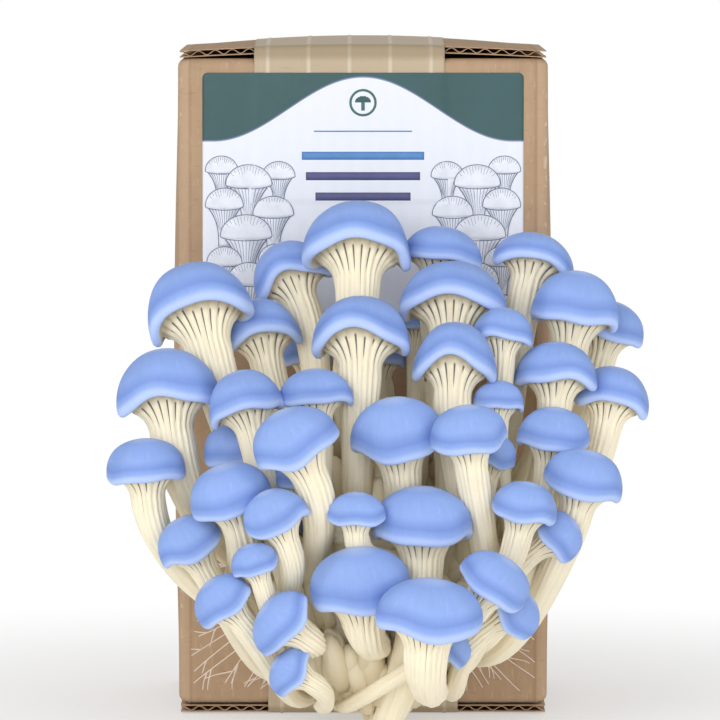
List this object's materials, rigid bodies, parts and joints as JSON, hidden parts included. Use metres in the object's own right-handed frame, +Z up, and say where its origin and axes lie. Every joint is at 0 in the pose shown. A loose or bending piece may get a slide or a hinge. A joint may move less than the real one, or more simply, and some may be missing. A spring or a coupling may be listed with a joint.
{
  "type": "oyster mushroom grow kit",
  "caption": "Upright corrugated carton with a dense fan of blue-capped oyster mushrooms growing out of a window low in its front.",
  "frame": {"origin": "middle of the carton's underside, on the tape that it rests on", "axes": "+Z up, front with the label and the mushrooms towards -Y, +X to the right seen from the front"},
  "size_m": [0.196, 0.2299, 0.2501],
  "materials": {
    "kraft_board": "matte",
    "gummed_tape": "satin",
    "label_paper": "satin",
    "bag_film": "gloss",
    "substrate": "matte",
    "cluster_flesh": "matte",
    "mushroom": "satin"
  },
  "bodies": {
    "root": {"carton": "kraft_board", "top_tape": "gummed_tape", "bottom_tape": "gummed_tape", "label": "label_paper", "grow_bag": "bag_film", "substrate_block": "substrate", "cluster_base": "cluster_flesh", "leading_mushroom_1": "mushroom", "leading_mushroom_2": "mushroom", "leading_mushroom_3": "mushroom", "leading_mushroom_4": "mushroom", "hidden_mushroom_1": "mushroom", "inner_mushroom_1": "mushroom", "inner_mushroom_2": "mushroom", "inner_mushroom_3": "mushroom", "top_mushroom_1": "mushroom", "top_mushroom_2": "mushroom", "top_mushroom_3": "mushroom", "top_mushroom_4": "mushroom", "top_mushroom_5": "mushroom", "top_mushroom_6": "mushroom", "top_mushroom_7": "mushroom", "top_mushroom_8": "mushroom", "upper_mushroom_1": "mushroom", "upper_mushroom_2": "mushroom", "upper_mushroom_3": "mushroom", "upper_mushroom_4": "mushroom", "middle_mushroom_1": "mushroom", "middle_mushroom_2": "mushroom", "middle_mushroom_3": "mushroom", "middle_mushroom_4": "mushroom", "middle_mushroom_5": "mushroom", "middle_mushroom_6": "mushroom", "lower_mushroom_1": "mushroom", "lower_mushroom_2": "mushroom", "lower_mushroom_3": "mushroom", "lower_mushroom_4": "mushroom", "lower_mushroom_5": "mushroom", "lower_mushroom_6": "mushroom", "lower_mushroom_7": "mushroom", "lower_mushroom_8": "mushroom", "lower_mushroom_9": "mushroom", "bottom_mushroom_1": "mushroom", "bottom_mushroom_2": "mushroom", "bottom_mushroom_3": "mushroom", "bottom_mushroom_4": "mushroom", "bottom_mushroom_5": "mushroom", "bottom_mushroom_6": "mushroom", "bottom_mushroom_7": "mushroom", "bottom_mushroom_8": "mushroom", "front_mushroom_1": "mushroom", "front_mushroom_2": "mushroom", "front_mushroom_3": "mushroom", "front_mushroom_4": "mushroom"}
  },
  "joints": []
}
